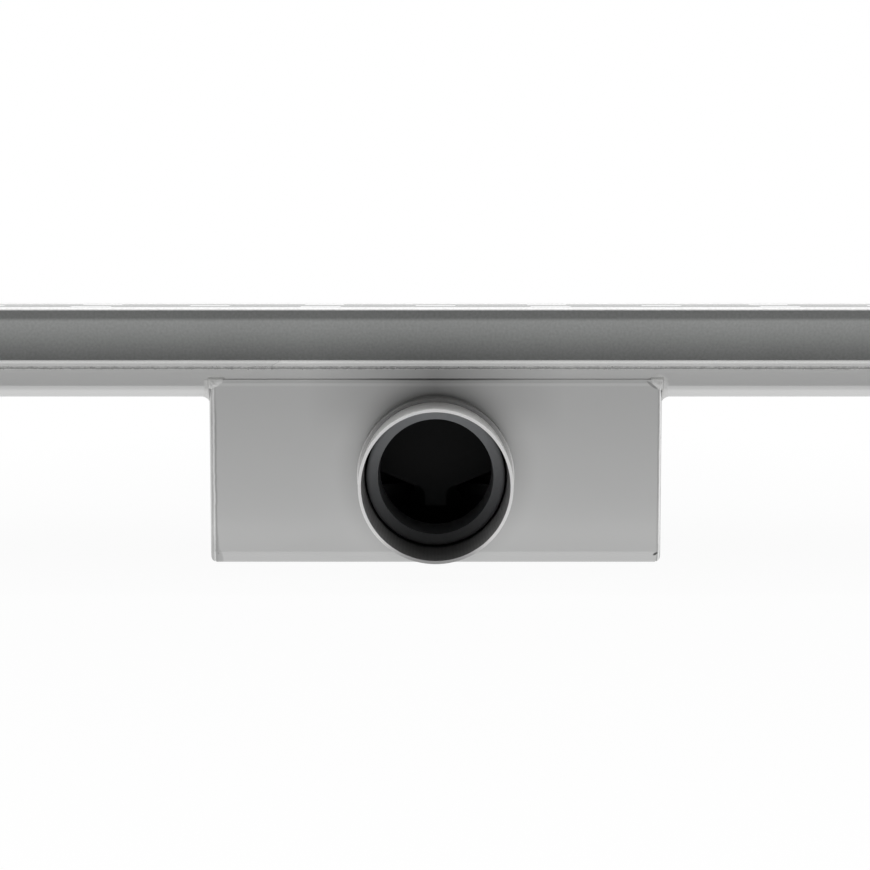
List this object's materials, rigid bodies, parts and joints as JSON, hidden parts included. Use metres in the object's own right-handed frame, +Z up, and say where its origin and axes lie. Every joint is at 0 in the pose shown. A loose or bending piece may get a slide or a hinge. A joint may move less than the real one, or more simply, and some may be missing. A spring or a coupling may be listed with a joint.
{
  "type": "linear shower drain",
  "caption": "Stainless linear shower drain: folded channel with sealing flange, welded sump with side outlet stub, lift-out cup trap and slotted grate.",
  "frame": {"origin": "middle of the sump's flat underside, under the middle of the channel", "axes": "+X along the channel, -Y along the outlet away from the sump, +Z up to the grate"},
  "size_m": [0.67, 0.1362, 0.0876],
  "materials": {
    "channel_steel": "mill finish, matt outside band",
    "flange_steel": "mill finish, sheared edges",
    "sump_steel": "mill finish",
    "weld_steel": "cleaned weld",
    "outlet_steel": "mill finish",
    "grate_steel": "brushed",
    "strainer_steel": "mill finish",
    "trap_plastic": "moulded, black",
    "spigot_plastic": "moulded, dark grey",
    "seal_rubber": "moulded"
  },
  "bodies": {
    "root": {"channel_body": "channel_steel", "channel_end_left": "channel_steel", "channel_end_right": "channel_steel", "flange_front_left": "flange_steel", "flange_front_right": "flange_steel", "flange_rear": "flange_steel", "flange_end_left": "flange_steel", "flange_end_right": "flange_steel", "sump_wrapper": "sump_steel", "sump_side_left": "sump_steel", "sump_side_right": "sump_steel", "sump_weld_left": "weld_steel", "sump_weld_right": "weld_steel", "outlet_collar": "outlet_steel", "outlet_stub": "outlet_steel", "grate": "grate_steel", "grate_support_1": "grate_steel", "grate_support_2": "grate_steel", "grate_support_3": "grate_steel", "grate_support_4": "grate_steel", "strainer_left": "strainer_steel", "strainer_right": "strainer_steel", "trap_body": "trap_plastic", "trap_cup_left": "trap_plastic", "trap_cup_right": "trap_plastic", "dip_tube_left": "trap_plastic", "dip_tube_right": "trap_plastic", "trap_cover": "trap_plastic", "trap_shield": "trap_plastic", "outlet_spigot": "spigot_plastic", "trap_rim_gasket": "seal_rubber", "cover_gasket": "seal_rubber", "spigot_gasket": "seal_rubber", "spigot_seal": "seal_rubber", "support_shoes": "seal_rubber"}
  },
  "joints": []
}
